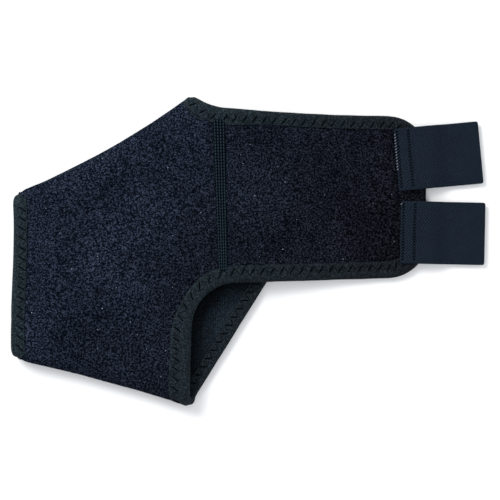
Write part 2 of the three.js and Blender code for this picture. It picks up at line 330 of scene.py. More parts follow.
# %% Inner knit
tree, shader = cloth_tree(LINING, specular=0.04, roughness=0.85)
spot_on = add_node(tree, "ShaderNodeTexCoord").outputs["Object"]
speckle = speckle_of(tree, spot_on, 1500.0)
place = add_node(tree, "ShaderNodeSeparateXYZ", {0: spot_on})
ribs = calc(tree, "SINE", calc(tree, "MULTIPLY", place.outputs[0], 2 * math.pi / (1.5 * mm)))
knit = blend_colours(tree, speckle.outputs["Light"], shade(19, 27, 34), shade(48, 61, 72))
groove = add_node(tree, "ShaderNodeMapRange", {0: ribs, 1: -1.0, 2: 1.0, 3: 0.0, 4: 0.4})
knit = blend_colours(tree, groove.outputs[0], knit, shade(8, 12, 16))
# Painted shade: the knit is darkened where it sees little open air, deepest inside the sleeve.
open_air = add_node(tree, "ShaderNodeAttribute", attribute_name="openness").outputs["Fac"]
knit_in_painted_shade = add_node(tree, "ShaderNodeVectorMath", {0: knit, "Scale": open_air}, operation="SCALE")
tree.links.new(knit_in_painted_shade.outputs[0], shader.inputs["Base Color"])
bump(tree, shader, calc(tree, "MULTIPLY_ADD", ribs, 0.35, speckle.outputs["Height"]), 0.5, 0.3 * mm)
print("finish:", LINING.name)

# %% [markdown]
# The tape is a fine rib knit, slate grey, a little fuzzy. Its ribs run along it, so they are drawn
# on the strip's own UV map, whose unit is the metre.

# %% Binding tape
tree, shader = cloth_tree(TAPE, specular=0.06, roughness=0.8)
strip = add_node(tree, "ShaderNodeTexCoord")
speckle = speckle_of(tree, strip.outputs["Object"], 1300.0)
tone = add_node(tree, "ShaderNodeGroup", {0: strip.outputs["Object"]}, node_tree=TONE_AND_PAINTED_LIGHT)
place = add_node(tree, "ShaderNodeSeparateXYZ", {0: strip.outputs["UV"]})
ribs = calc(tree, "SINE", calc(tree, "MULTIPLY", place.outputs[1], 2 * math.pi / (0.9 * mm)))
cross = calc(tree, "SINE", calc(tree, "MULTIPLY", place.outputs[0], 2 * math.pi / (1.1 * mm)))
# Painted light in part: the tape is lighter and bluer towards the upper left.
deep = blend_colours(tree, tone.outputs["PaintedLightAcross"], shade(17, 26, 30), shade(12, 16, 20))
lit = blend_colours(tree, tone.outputs["PaintedLightAcross"], shade(46, 59, 66), shade(36, 42, 49))
knit = blend_colours(tree, speckle.outputs["Light"], deep, lit)
tree.links.new(knit, shader.inputs["Base Color"])
weave = calc(tree, "MULTIPLY_ADD", ribs, 0.3, calc(tree, "MULTIPLY_ADD", cross, 0.2,
                                                   speckle.outputs["Height"]))
bump(tree, shader, weave, 0.6, 0.35 * mm)
print("finish:", TAPE.name)

# %% [markdown]
# The threads are twisted polyester. The seam's is a greenish grey, and one row of stitches at the
# straps is pale.


# %% Threads
def thread_finish(material, dark, light):
    tree, shader = cloth_tree(material, specular=0.0, roughness=0.9)
    spot_on = add_node(tree, "ShaderNodeTexCoord").outputs["Object"]
    strands = add_node(tree, "ShaderNodeTexNoise",
                       {"Vector": spot_on, "Scale": 900.0, "Detail": 2.0})
    twisted = blend_colours(tree, strands.outputs[0], dark, light)
    tree.links.new(twisted, shader.inputs["Base Color"])
    bump(tree, shader, strands.outputs[0], 0.4, 0.15 * mm)


thread_finish(THREAD, shade(2, 3, 5), shade(7, 9, 12))
thread_finish(PALE_THREAD, shade(70, 78, 90), shade(150, 158, 170))
thread_finish(SEAM_THREAD, shade(11, 19, 24), shade(50, 66, 76))
thread_finish(SEAM_GROUND, shade(3, 6, 8), shade(9, 14, 18))
print("finish: threads")

# %% [markdown]
# The elastic is woven in a fine herringbone: diagonal ribs that change their lean every few
# millimetres. A triangle wave across the strap, added to the length along it, draws that.

# %% Elastic webbing
HERRING_PITCH = 1.9 * mm
HERRING_BAND = 14 * mm
tree, shader = cloth_tree(ELASTIC, specular=0.02, roughness=0.85)
strip = add_node(tree, "ShaderNodeTexCoord")
speckle = speckle_of(tree, strip.outputs["Object"], 1700.0)
place = add_node(tree, "ShaderNodeSeparateXYZ", {0: strip.outputs["UV"]})
zigzag = calc(tree, "PINGPONG", place.outputs[1], HERRING_BAND / 2)
diagonal = calc(tree, "MULTIPLY", calc(tree, "ADD", place.outputs[0], zigzag),
                2 * math.pi / HERRING_PITCH)
twill = add_node(tree, "ShaderNodeMapRange", {0: calc(tree, "SINE", diagonal), 1: -1.0, 2: 1.0})
woven = blend_colours(tree, twill.outputs[0], shade(4, 8, 11), shade(29, 38, 50))
woven = blend_colours(tree, calc(tree, "MULTIPLY", speckle.outputs["Light"], 0.45), woven,
                      shade(38, 48, 60))
tree.links.new(woven, shader.inputs["Base Color"])
bump(tree, shader, calc(tree, "MULTIPLY_ADD", twill.outputs[0], 0.8, speckle.outputs["Height"]),
     0.5, 0.25 * mm)
print("finish:", ELASTIC.name)

# %% Hook tape and table
tree, shader = cloth_tree(HOOK, specular=0.35, roughness=0.5)
spot_on = add_node(tree, "ShaderNodeTexCoord").outputs["Object"]
hooks = add_node(tree, "ShaderNodeTexVoronoi", {"Vector": spot_on, "Scale": 700.0})
tree.links.new(blend_colours(tree, hooks.outputs["Distance"], shade(26, 28, 31), shade(11, 12, 14)),
               shader.inputs["Base Color"])
bump(tree, shader, hooks.outputs["Distance"], 0.5, 0.4 * mm)

WHITE_TABLE = bpy.data.materials.new("white_table")
tree, shader = cloth_tree(WHITE_TABLE, specular=0.1, roughness=0.9)
shader.inputs["Base Color"].default_value = (0.92, 0.92, 0.92, 1)
table_top.data.materials.append(WHITE_TABLE)
print("finish:", HOOK.name, "and", WHITE_TABLE.name)

# %% [markdown]
# ## Neoprene panels
# The foot sleeve and the wrap are one laminate: foam rubber with a brushed loop pile outside and a
# smooth knit inside. A cloth simulation could drape them, but this laminate is stiff and lies flat,
# and the measured solid already has its shape. So each panel starts as a copy of its solid. A voxel
# remesh turns the long triangles into small even squares, and smoothing rounds the edges.

# %% Panels from their solids
WALL = 3 * mm
PANEL_VOXEL = 1.25 * mm
SMOOTHING_ROUNDS = 14
LAYER_MIDDLE = 5.5 * mm
BACK_END = 20 * mm


def is_inside(face):
    """True where a face looks into the sleeve, or down from the wrap."""
    up, middle = face.normal.z, face.calc_center_median()
    if middle.z > LAYER_MIDDLE or middle.x > BACK_END:
        return up < -0.6
    return up > 0.3


def soft_panel(name, solid):
    """A neoprene panel: the solid remeshed evenly and smoothed, plush outside and knit inside."""
    panel = add_piece(name, merged_copy(solid), PLUSH)
    remesh = panel.modifiers.new("even squares", "REMESH")
    remesh.mode = "VOXEL"
    remesh.voxel_size = PANEL_VOXEL
    final_mesh(panel)
    bm = bmesh.new()
    bm.from_mesh(panel.data)
    for _ in range(SMOOTHING_ROUNDS):
        bmesh.ops.smooth_vert(bm, verts=bm.verts, factor=0.5,
                              use_axis_x=True, use_axis_y=True, use_axis_z=True)
    bm.normal_update()
    for face in bm.faces:
        face.smooth = True
        face.material_index = int(is_inside(face))
    bm.to_mesh(panel.data)
    bm.free()
    panel.data.materials.append(LINING)
    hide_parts(solid)
    print(name, len(panel.data.polygons), "faces")
    return panel


sleeve = soft_panel("neoprene_sleeve", "foot_sleeve")
wrap = soft_panel("neoprene_wrap", "ankle_wrap")

# %% [markdown]
# The knit is darkened with painted shade where it sees little open air, darkest deep inside the
# sleeve. Each point of a panel keeps how much open air it sees on its own side, up or down, as an
# attribute that the knit's finish reads. Rays through a tree of the panels' faces find that, and the
# same tree tells the later pieces how high the cloth lies.


# %% Heights and open air
def surface_tree(pieces):
    bm = bmesh.new()
    for piece in pieces:
        bm.from_mesh(piece.data)
    tree = BVHTree.FromBMesh(bm)
    bm.free()
    return tree


panels = surface_tree([sleeve, wrap])
UP = Vector((0, 0, 1))
RAY_START = 0.1


def top_at(x, y, tree=None):
    """Height of the top of the cloth at a place, or not a number beside it."""
    hit = (tree or panels).ray_cast(Vector((x, y, RAY_START)), -UP)[0]
    return math.nan if hit is None else hit.z


def bottom_at(x, y):
    hit = panels.ray_cast(Vector((x, y, -RAY_START)), UP)[0]
    return math.nan if hit is None else hit.z


AIR_START = 0.4 * mm
AIR_REACH = 0.08
AIR_CONTRAST = 3.5
AIR_RAYS = [Vector((math.cos(t) * math.sin(e), math.sin(t) * math.sin(e), math.cos(e)))
            for e in (0.35, 0.8, 1.15) for t in np.arange(5) * 2 * math.pi / 5 + e]
AIR_RAYS_BELOW = [Vector((ray.x, ray.y, -ray.z)) for ray in AIR_RAYS]


def store_openness(panel):
    """Keeps the share of rays that leave each point freely, as the attribute openness."""
    layer = panel.data.attributes.new("openness", "FLOAT", "POINT")
    for index, vert in enumerate(panel.data.vertices):
        start = vert.co + vert.normal * AIR_START
        rays = AIR_RAYS if vert.normal.z > 0 else AIR_RAYS_BELOW
        free = sum(panels.ray_cast(start, ray, AIR_REACH)[0] is None for ray in rays)
        # This share later darkens the knit as painted shade.
        layer.data[index].value = (free / len(rays)) ** AIR_CONTRAST


store_openness(sleeve)
store_openness(wrap)
toe_low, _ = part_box("toe_binding")
SLEEVE_LENGTH = 112 * mm
FOLD_X = toe_low.x + SLEEVE_LENGTH
MIDDLE_Y = 0.2 * mm
print("fold line at x =", round(FOLD_X, 4), "front at", round(top_at(-0.09, 0), 4))

# %% [markdown]
# ## The line of the bound edge
# Seen from above, the tape follows one line. It starts under the upper strap, runs along the top to
# the peak, round the fold and along the hidden back wing to the lower tip, then up the front of
# the heel opening and along the wrap's lower edge to the lower strap. It could be drawn by hand as
# a curve, but arcs and easings with named sizes can be checked one by one. The panels give its
# height.

# %% Line seen from above
HEEL_HALF = 98.5 * mm
HEEL_LEAN = 1.6 * mm
BEND_RADIUS = 28.5 * mm
SEAM_DISTANCE = 20 * mm
WRAP_END = 153 * mm
WRAP_TOP = 86.4 * mm
WRAP_FLARE = 4.5 * mm
WRAP_BOTTOM = -20 * mm
WRAP_RISE = 2.6 * mm
CORNER_RADIUS = 28 * mm
BACK_REACH = 56 * mm
BACK_INSET = 4 * mm
BACK_SLANT = math.radians(58.1)
TUBE_MIDDLE = 6.7 * mm
STEP = 0.7 * mm


def arc(centre, radius, start, end, steps=24):
    turns = np.radians(np.linspace(start, end, steps))
    return [Vector((centre[0] + radius * math.cos(t), centre[1] + radius * math.sin(t)))
            for t in turns]


def top_edge(x):
    """The top edge falls from the peak to the seam, then eases along the wrap."""
    if x < SEAM_DISTANCE:
        seam_top = WRAP_TOP + WRAP_FLARE
        return seam_top + (HEEL_HALF - seam_top) * (1 - x / SEAM_DISTANCE) ** 1.25
    share = min(1, (x - SEAM_DISTANCE) / (WRAP_END - CORNER_RADIUS - SEAM_DISTANCE))
    return WRAP_TOP + WRAP_FLARE * (1 - share) ** 2


def evenly(points, step=STEP):
    """The same line with its points a step apart. Values after x, y and z are carried along."""
    line = np.array([tuple(p) for p in points])
    along = np.concatenate([[0], np.cumsum(np.linalg.norm(np.diff(line[:, :3], axis=0), axis=1))])
    stations = np.linspace(0, along[-1], max(2, round(along[-1] / step)))
    return np.stack([np.interp(stations, along, line[:, i]) for i in range(line.shape[1])], axis=1)


def softened(values, reach):
    """Running mean over a few neighbours, which keeps the ends."""
    first, last = np.repeat(values[:1], reach, 0), np.repeat(values[-1:], reach, 0)
    padded = np.concatenate([first, values, last])
    return sum(padded[i:i + len(values)] for i in range(2 * reach + 1)) / (2 * reach + 1)


print("stations of a line are", round(STEP / mm, 2), "mm apart")

# %% Front and back halves of the line
corner_x = WRAP_END - CORNER_RADIUS
tip, peak = Vector((0, -HEEL_HALF)), Vector((0, HEEL_HALF))
upright = [tip, *arc((HEEL_LEAN + BEND_RADIUS, WRAP_BOTTOM - BEND_RADIUS), BEND_RADIUS, 180, 90)]
lower_edge = arc((corner_x, WRAP_BOTTOM + WRAP_RISE + CORNER_RADIUS), CORNER_RADIUS, -90, -28)
upper_edge = arc((corner_x, WRAP_TOP - CORNER_RADIUS), CORNER_RADIUS, 28, 90)
top_edge_line = [Vector((x, top_edge(x))) for x in np.linspace(corner_x, 0, 60)][1:]
back_line = [Vector((x, top_edge(x) - BACK_INSET * smoothstep(x, 0, SEAM_DISTANCE)))
             for x in np.linspace(0, BACK_REACH - 4 * mm, 30)][1:]
slant_end = Vector((BACK_REACH, -HEEL_HALF + math.tan(BACK_SLANT) * BACK_REACH))
back_end = [Vector((BACK_REACH, WRAP_TOP - 6 * mm)), slant_end, tip]
front_start = evenly(upper_edge + top_edge_line)
back_half = softened(evenly([peak, *back_line, *back_end]), 4)
front_rest = evenly(upright + lower_edge)
plan = np.concatenate([front_start, back_half[1:], front_rest[1:]])
on_back = np.zeros(len(plan), bool)
on_back[len(front_start):len(front_start) + len(back_half) - 1] = True
print("bound edge:", round(len(plan) * STEP, 3), "m")

# %% [markdown]
# At the peak and at the lower tip the edge runs round the sleeve's fold. There the tape's outward
# direction turns with it, from straight up on the front, through sideways, to straight down on
# the back. Each station of the line gets a place, this outward direction, and the direction from
# the edge into the cloth.


# %% Height and directions along the line
def fold_y(x, side):
    """Outer face of the sleeve's upper (+1) or lower (-1) fold."""
    hit = panels.ray_cast(Vector((x, side * 0.2, TUBE_MIDDLE)), Vector((0, -side, 0)))[0]
    return hit.y


FOLD_START = 91.5 * mm
FOLD_REACH = 7 * mm
TAPE_RISE = 2.6 * mm
SAMPLE_INSET = 4.5 * mm
SAMPLE_LIMIT = 0.088


def fold_normal(side):
    """Sideways direction of the fold just before the fold line."""
    near, away = FOLD_X - 3 * mm, FOLD_X - 14 * mm
    slope = (fold_y(near, side) - fold_y(away, side)) / (near - away)
    return Vector((-slope * side, side, 0)).normalized()


def edge_frames():
    """Place, outward direction and inward direction at each station of the edge line."""
    places, outs = [], []
    tangents = np.gradient(softened(plan, 3), axis=0)
    sideways = {1: fold_normal(1), -1: fold_normal(-1)}
    for (x, y), (tx, ty), back in zip(plan, tangents, on_back):
        side = 1 if y > 0 else -1
        turn = math.radians(90) * min(1, max(0, (abs(y) - FOLD_START) / FOLD_REACH))
        up = -1 if back else 1
        inward = Vector((-ty, tx)).normalized() * up * SAMPLE_INSET
        sample_y = max(-SAMPLE_LIMIT, min(SAMPLE_LIMIT, MIDDLE_Y + y + inward.y))
        sample = (FOLD_X + x + inward.x, sample_y)
        front, floor = top_at(*sample) - WALL / 2, bottom_at(*sample) + WALL / 2
        middle = (front + floor) / 2 if turn else (floor if back else front)
        level = floor if back else front
        out = math.cos(turn) * up * UP + math.sin(turn) * sideways[side]
        shift = -TAPE_RISE * math.sin(turn) * sideways[side]
        places.append((FOLD_X + x + shift.x, MIDDLE_Y + y + shift.y,
                       middle + (level - middle) * math.cos(turn)))
        outs.append(tuple(out))
    return np.array(places), np.array(outs)


def unit(vectors):
    return vectors / np.linalg.norm(vectors, axis=-1, keepdims=True)


def filled(values):
    """Missing heights read from their neighbours."""
    known = ~np.isnan(values)
    return np.interp(np.arange(len(values)), np.flatnonzero(known), values[known])


def steady(values, reach):
    """Running median along the first axis, which drops short dips such as the open seam's."""
    last = len(values) - 1
    near = [values[np.clip(np.arange(len(values)) + i, 0, last)] for i in range(-reach, reach + 1)]
    return np.median(near, axis=0)


print("line helpers ready")

# %% Frames of the edge
CORNER_SPREAD = 4 * mm
CORNER_PUSH = (2.0 * mm, 0.9 * mm)

edge_places, edge_outs = edge_frames()
edge_places[:, 2] = softened(steady(filled(edge_places[:, 2]), 9), 5)
# The peak and the lower tip are pushed a little outwards and towards the wrap.
corner_share = np.exp(-((HEEL_HALF - np.abs(plan[:, 1])) / CORNER_SPREAD) ** 2)
edge_places[:, 0] += CORNER_PUSH[0] * corner_share
edge_places[:, 1] += CORNER_PUSH[1] * corner_share * np.sign(plan[:, 1])
edge_places = softened(edge_places, 2)
edge_outs = unit(softened(edge_outs, 5))
edge_inward = unit(np.cross(edge_outs, np.gradient(edge_places, axis=0)))
print("edge height:", np.round([edge_places[:, 2].min(), edge_places[:, 2].max()], 4))

# %% [markdown]
# ## Binding tape
# The tape is a knitted strip folded over the raw edge and sewn through with a zigzag. A profile
# swept along a curve would have one stiff section everywhere. So it is laid as one strip, from its
# inner edge under the cloth, round the raw edge, to its inner edge on top. Each of its lines is
# pressed onto the panel, and every stitch pulls a small dent into it.

# %% Shape of the tape
TAPE_WIDTH = 8.8 * mm
TAPE_THICKNESS = 0.7 * mm
TAPE_ROLL = 2.4 * mm
TAPE_INNER_RISE = 2.1 * mm
TAPE_LINES = 26
TAPE_LIFT = 0.55 * mm
FLOOR_GAP = 0.1 * mm
TABLE_GAP = 0.02 * mm
ROLL_SHARE = 0.3
BEAD_SHARE = 0.22
BEAD_INSET = 3.2 * mm
BEAD_SPREAD = 1.9 * mm


def tape_section(v, width):
    """Distance in from the edge and height over the cloth's middle, v from under to over."""
    share = abs(2 * v - 1)
    side = 1 if v > 0.5 else -1
    if share < ROLL_SHARE:
        turn = math.radians(90) * share / ROLL_SHARE
        return TAPE_ROLL * (1 - math.cos(turn)), side * TAPE_RISE * math.sin(turn)
    flat = (share - ROLL_SHARE) / (1 - ROLL_SHARE)
    inset = TAPE_ROLL + (width - TAPE_ROLL) * flat
    height = TAPE_RISE - (TAPE_RISE - TAPE_INNER_RISE) * flat ** 2
    near_bead = math.exp(-((inset - BEAD_INSET) / BEAD_SPREAD) ** 2)
    bead = (width - TAPE_WIDTH) * BEAD_SHARE * near_bead
    return inset, side * height + bead * (side > 0)


print("tape inner edge, mm in and up:", np.round(np.array(tape_section(1.0, TAPE_WIDTH)) / mm, 2))

# %% Zigzag's line
STITCH_PITCH = 6.2 * mm
STITCH_OUTER = 3.3 * mm
STITCH_INNER = 8.3 * mm


def stitch_line(along, outer=STITCH_OUTER, inner=STITCH_INNER):
    """Where the zigzag is at a length along the tape: out to in on one leg, and back."""
    phase = along / STITCH_PITCH % 1
    share = phase / 0.5 if phase < 0.5 else (1 - phase) / 0.5
    return outer + (inner - outer) * share


print("zigzag, mm in at a half stitch:", round(stitch_line(STITCH_PITCH / 2) / mm, 2))

# %% Lay the tape on the cloth
SEARCH_REACH = 6 * mm
HOLD_FROM = 2 * mm
HOLD_FULL = 4 * mm
MOST_RISE = 3 * mm


def lay_tape(places, outs, inward, widths, tree):
    """Points of the tape's outer face, a row for each station and a column for each line."""
    rows = []
    for place, out, into, width in zip(places, outs, inward, widths):
        row = []
        for v in np.linspace(0, 1, TAPE_LINES):
            inset, height = tape_section(v, width)
            point = Vector(place + into * inset + out * height)
            hit = tree.find_nearest(point, SEARCH_REACH)[0]
            hold = smoothstep(inset, HOLD_FROM, HOLD_FULL)
            if hit is not None and hold:
                lift = Vector(out * (height - math.copysign(WALL / 2, height)))
                point = point.lerp(hit + lift, hold)
                if height > 0 and out[2] > 0.7:
                    rise = top_at(point.x, point.y, tree) + TAPE_LIFT - point.z
                    if rise > 0:
                        point.z += hold * min(rise, MOST_RISE)
            point.z = max(point.z, FLOOR_GAP)
            row.append(tuple(point))
        rows.append(row)
    return np.array(rows)


print("tape lies", round(TAPE_LIFT / mm, 2), "mm over the cloth")

# %% Dents of the stitches
DENT_DEPTH = 0.3 * mm
DENT_WIDTH = 0.75 * mm
WAVE_PITCH = 9 * mm
WAVE_HEIGHT = 0.12 * mm


def outward(points):
    """Outward direction at each point of a laid strip."""
    return unit(np.cross(np.gradient(points, axis=0), np.gradient(points, axis=1)))


def sew_dents(points, widths, seed, shift=None):
    """Pulls the dents of the stitches and a slight waviness into a laid tape."""
    waver = np.random.default_rng(seed)
    count = len(points)
    knots = np.arange(0, count * STEP + 0.02, WAVE_PITCH)
    wave = np.interp(np.arange(count) * STEP, knots, waver.uniform(-1, 1, len(knots)))
    normals = outward(points)
    depth = np.zeros(points.shape[:2])
    for i in range(count):
        middle = stitch_line(i * STEP) + (shift[i] if shift is not None else 0)
        for j, v in enumerate(np.linspace(0, 1, TAPE_LINES)):
            inset = tape_section(v, widths[i])[0]
            near = math.exp(-((inset - middle) / DENT_WIDTH) ** 2)
            depth[i, j] = -DENT_DEPTH * near + WAVE_HEIGHT * wave[i]
    sewn = points + normals * depth[..., None]
    sewn[..., 2] = np.maximum(sewn[..., 2], FLOOR_GAP)
    return sewn


print("dents", round(DENT_DEPTH / mm, 2), "mm deep, waves of", round(WAVE_HEIGHT / mm, 2), "mm")


# %% Strip with a thickness
def strip_piece(name, points, thickness, material, closed=False):
    """A strip of cloth whose outer face runs through the points."""
    columns, rows = points.shape[0] - 1, points.shape[1] - 1
    length = float(np.linalg.norm(np.diff(points[:, rows // 2], axis=0), axis=1).sum())
    width = float(np.linalg.norm(np.diff(points, axis=1), axis=2).sum(axis=1).mean())
    bm = bmesh.new()
    laid_grid(bm, columns, rows, width, length,
              lambda u, v: points[round(u * columns), round(v * rows)])
    if closed:
        bmesh.ops.remove_doubles(bm, verts=bm.verts, dist=0.01 * mm)
    piece = add_piece(name, bm, material)
    solid = piece.modifiers.new("cloth thickness", "SOLIDIFY")
    solid.thickness = thickness
    solid.offset = -1
    final_mesh(piece)
    # The inner face of a folded strip can dip into the table, so no point goes below the top.
    for vert in piece.data.vertices:
        vert.co.z = max(vert.co.z, TABLE_GAP)
    print(name, round(length, 3), "x", round(width, 4), "m,", len(piece.data.polygons), "faces")
    return piece, length, width


print("strip maker ready")

# %% [markdown]
# ## Threads
# A thread is a thin tube along a line. Stitches could be painted on, but real ones press into the
# cloth at their ends and stand a little proud between, and that small shadow is what the eye reads
# as sewing. All the stitches of one seam are one mesh, each with only a few dozen faces.

# %% Thread tubes
THREAD_SIDES = 5
THREAD_TAPER = 0.25


def add_threads(name, lines, radius, material):
    """One mesh of threads. Each line is an array of places with the outward directions there."""
    turns = np.linspace(0, 2 * math.pi, THREAD_SIDES + 1)
    tubes = []
    for places, outs in lines:
        along = unit(np.gradient(places, axis=0))
        aside = unit(np.cross(along, outs))
        above = np.cross(aside, along)
        girth = np.array([THREAD_TAPER, *[1.0] * (len(places) - 2), THREAD_TAPER])
        girth = radius * girth[:, None, None]
        ring = aside[:, None] * np.cos(turns)[:, None] + above[:, None] * np.sin(turns)[:, None]
        tubes.append(places[:, None] + girth * ring)
    each = len(tubes[0])
    rings = np.concatenate(tubes)
    rings[..., 2] = np.maximum(rings[..., 2], TABLE_GAP)
    count = len(rings) - 1
    bm = bmesh.new()
    made = laid_grid(bm, count, THREAD_SIDES, 2 * math.pi * radius, count * radius,
                     lambda u, v: (u * count, v * THREAD_SIDES, 0))
    between = [face for face in bm.faces if int(face.calc_center_median().x) % each == each - 1]
    bmesh.ops.delete(bm, geom=between, context="FACES")
    for vert in made:
        vert.co = rings[round(vert.co.x), round(vert.co.y)]
    bmesh.ops.remove_doubles(bm, verts=bm.verts, dist=0.003 * mm)
    ends = [edge for edge in bm.edges if edge.is_boundary]
    bmesh.ops.holes_fill(bm, edges=ends, sides=THREAD_SIDES)
    bmesh.ops.recalc_face_normals(bm, faces=bm.faces)
    threads = add_piece(name, bm, material)
    print(name, len(lines), "stitches,", len(threads.data.polygons), "faces")
    return threads


print("threads have", THREAD_SIDES, "sides")


# %% Reader of a laid strip
def strip_reader(points):
    """Reads a laid strip's place and outward direction at any column and row, also in between."""
    normals = outward(points)

    def read(column, row, height):
        i = min(max(column, 0), points.shape[0] - 1.001)
        j = min(max(row, 0), points.shape[1] - 1.001)
        i0, j0 = int(i), int(j)
        di, dj = i - i0, j - j0
        place, out = (
            (1 - di) * (1 - dj) * grid[i0, j0] + di * (1 - dj) * grid[i0 + 1, j0]
            + (1 - di) * dj * grid[i0, j0 + 1] + di * dj * grid[i0 + 1, j0 + 1]
            for grid in (points, normals))
        return place + out * height, out

    return read


print("strip reader ready")

# %% [markdown]
# The zigzag goes through both sides of the tape. On one leg of each stitch the thread lies on top
# in a low arch. On the other leg it is pulled tight and almost sinks in. Where the tape turns round
# a fold, the needle missed it.

# %% Zigzag along a tape
THREAD_RADIUS = 0.4 * mm
LEG_POINTS = 7
FOLD_TURN = 0.55
ZIGZAG_LEGS = ((0, 0.32 * mm, -0.08 * mm), (1, 0.12 * mm, -0.36 * mm))


def zigzag(points, widths, shift):
    """Stitch lines on both faces of a tape."""
    read = strip_reader(points)
    length = (len(points) - 1) * STEP
    lines = []
    for side in (1, -1):
        for stitch in range(int(length / STITCH_PITCH)):
            for leg, arch, sink in ZIGZAG_LEGS:
                places, outs = [], []
                for t in np.linspace(0, 1, LEG_POINTS):
                    along = (stitch + (leg + t) / 2) * STITCH_PITCH
                    column = along / STEP
                    width = widths[min(round(column), len(widths) - 1)]
                    extra = shift[min(round(column), len(widths) - 1)]
                    inset = stitch_line(min(along, (stitch + 0.9999) * STITCH_PITCH)) + extra
                    share = ROLL_SHARE + (1 - ROLL_SHARE) * (inset - TAPE_ROLL) / (width - TAPE_ROLL)
                    row = (0.5 + side * min(share, 1) / 2) * (TAPE_LINES - 1)
                    place, out = read(column, row, sink + arch * math.sin(math.pi * t))
                    places.append(place)
                    outs.append(out)
                if abs(outs[LEG_POINTS // 2][2]) > FOLD_TURN:
                    lines.append((np.array(places), np.array(outs)))
    return lines


for _, arch, sink in ZIGZAG_LEGS:
    print("zigzag leg: arch", round(arch / mm, 2), "mm, sink", round(sink / mm, 2), "mm")

# %% [markdown]
# The tape isn't equally broad everywhere. It lies a little broader at the peak and along the lower
# edge, and broadest down the heel, where the cloth under it makes a thick roll. One strip with a
# width for each station can follow that.

# %% Edge binding
HEEL_EXTRA = 4.6 * mm
PEAK_EXTRA = 2.4 * mm
LOWER_EXTRA = 2.2 * mm
HEEL_STITCH_SHIFT = 0.78
SLIGHT_STITCH_SHIFT = 0.5


def share_along(rule, upper):
    """A rule of x and y at the front's stations of the upper or lower edge, eased along the tape."""
    values = [rule(x, y) if not back and (y > 0) == upper else 0
              for (x, y), back in zip(plan, on_back)]
    return softened(np.array(values, float), 5)


heel_extra = HEEL_EXTRA * share_along(lambda x, y: 1 - smoothstep(y, -56 * mm, -30 * mm), False)
slight_extra = (PEAK_EXTRA * share_along(lambda x, y: 1 - smoothstep(x, 22 * mm, 52 * mm), True)
                + LOWER_EXTRA * share_along(lambda x, y: smoothstep(x, -2 * mm, 14 * mm), False))
edge_widths = TAPE_WIDTH + heel_extra + slight_extra
edge_shift = HEEL_STITCH_SHIFT * heel_extra + SLIGHT_STITCH_SHIFT * slight_extra
edge_points = lay_tape(edge_places, edge_outs, edge_inward, edge_widths, panels)
edge_points[..., 2] = steady(edge_points[..., 2], 7)
edge_points = sew_dents(softened(edge_points, 2), edge_widths, seed=4, shift=edge_shift)
edge_tape, edge_length, edge_cut = strip_piece("edge_tape", edge_points, TAPE_THICKNESS, TAPE)
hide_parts("edge_binding")
edge_stitches = add_threads("edge_zigzag", zigzag(edge_points, edge_widths, edge_shift),
                            THREAD_RADIUS, THREAD)

# %% [markdown]
# ## Toe binding
# The toe opening's tape goes all the way round the flattened tube. Its line is a slot with round
# ends, and the tape reaches into the sleeve, where the tube grows wider, so each of its lines is
# read from the sleeve at its own distance from the opening.

# %% Ring round the toe opening
TOE_X = FOLD_X - SLEEVE_LENGTH
TUBE_RADIUS = 5 * mm
TOE_FRONT_RISE = 1.1 * mm
TOE_WAVE = 0.9 * mm
TOE_WAVE_LENGTH = 21 * mm
TOE_SETBACK = 0.2 * mm


def toe_ring():
    """Stations down the front, round the lower fold, up the back and round the upper one."""
    low, high = (fold_y(TOE_X + 2.5 * mm, side) for side in (-1, 1))
    outer = TUBE_RADIUS + WALL / 2
    line = [(high - outer, 1.0, 0), (low + outer, 1.0, 0)]
    line += [(low + outer, math.cos(t), -math.sin(t)) for t in np.linspace(0, math.pi, 20)]
    line += [(high - outer, -1.0, 0)]
    line += [(high - outer, -math.cos(t), math.sin(t)) for t in np.linspace(0, math.pi, 20)]
    places, outs = [], []
    for y, up, sideways in line:
        out = Vector((0, sideways, up)).normalized()
        height = TUBE_MIDDLE + TOE_FRONT_RISE * max(0, up)
        place = Vector((TOE_X, y, height)) + out * TUBE_RADIUS
        places.append((*place, *out))
    ring = evenly(places)
    return ring[:, :3], unit(ring[:, 3:])


toe_places, toe_outs = toe_ring()
toe_inward = np.tile([1.0, 0, 0], (len(toe_places), 1))
toe_widths = np.full(len(toe_places), TAPE_WIDTH)
toe_places[:, 0] += TOE_WAVE * np.sin(toe_places[:, 1] / TOE_WAVE_LENGTH + 1.0) + TOE_SETBACK
toe_points = lay_tape(toe_places, toe_outs, toe_inward, toe_widths, panels)
toe_points = sew_dents(toe_points, toe_widths, seed=9)
toe_points[-1] = toe_points[0]
toe_tape, toe_length, toe_cut = strip_piece("toe_tape", toe_points, TAPE_THICKNESS, TAPE,
                                            closed=True)
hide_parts("toe_binding")
toe_stitches = add_threads("toe_zigzag", zigzag(toe_points, toe_widths, np.zeros(len(toe_points))),
                           THREAD_RADIUS, THREAD)

# %% [markdown]
# ## Flatlock seam
# The wrap is sewn to the sleeve edge to edge, and a flat band of thread covers the join. It could
# be a pattern on the pile, but the band stands proud and catches the light. So it is a strip of
# its own, laid at the height of the cloth below and tucked under the tape at both ends.

# %% Seam band
SEAM_THICKNESS = 0.6 * mm
band_low, band_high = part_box("wrap_seam")
SEAM_ROWS = 14
BAND_TUCK = 1.4 * mm
BAND_STEP = 0.6 * mm
BAND_TOP_WIDTH = 7.4
BAND_LOW_WIDTH = 5.4
BAND_LEAN = 2.6 * mm
BAND_ASIDE = 1.3 * mm
BAND_RISE = 0.9 * mm
BAND_EDGE_DROP = 0.35 * mm


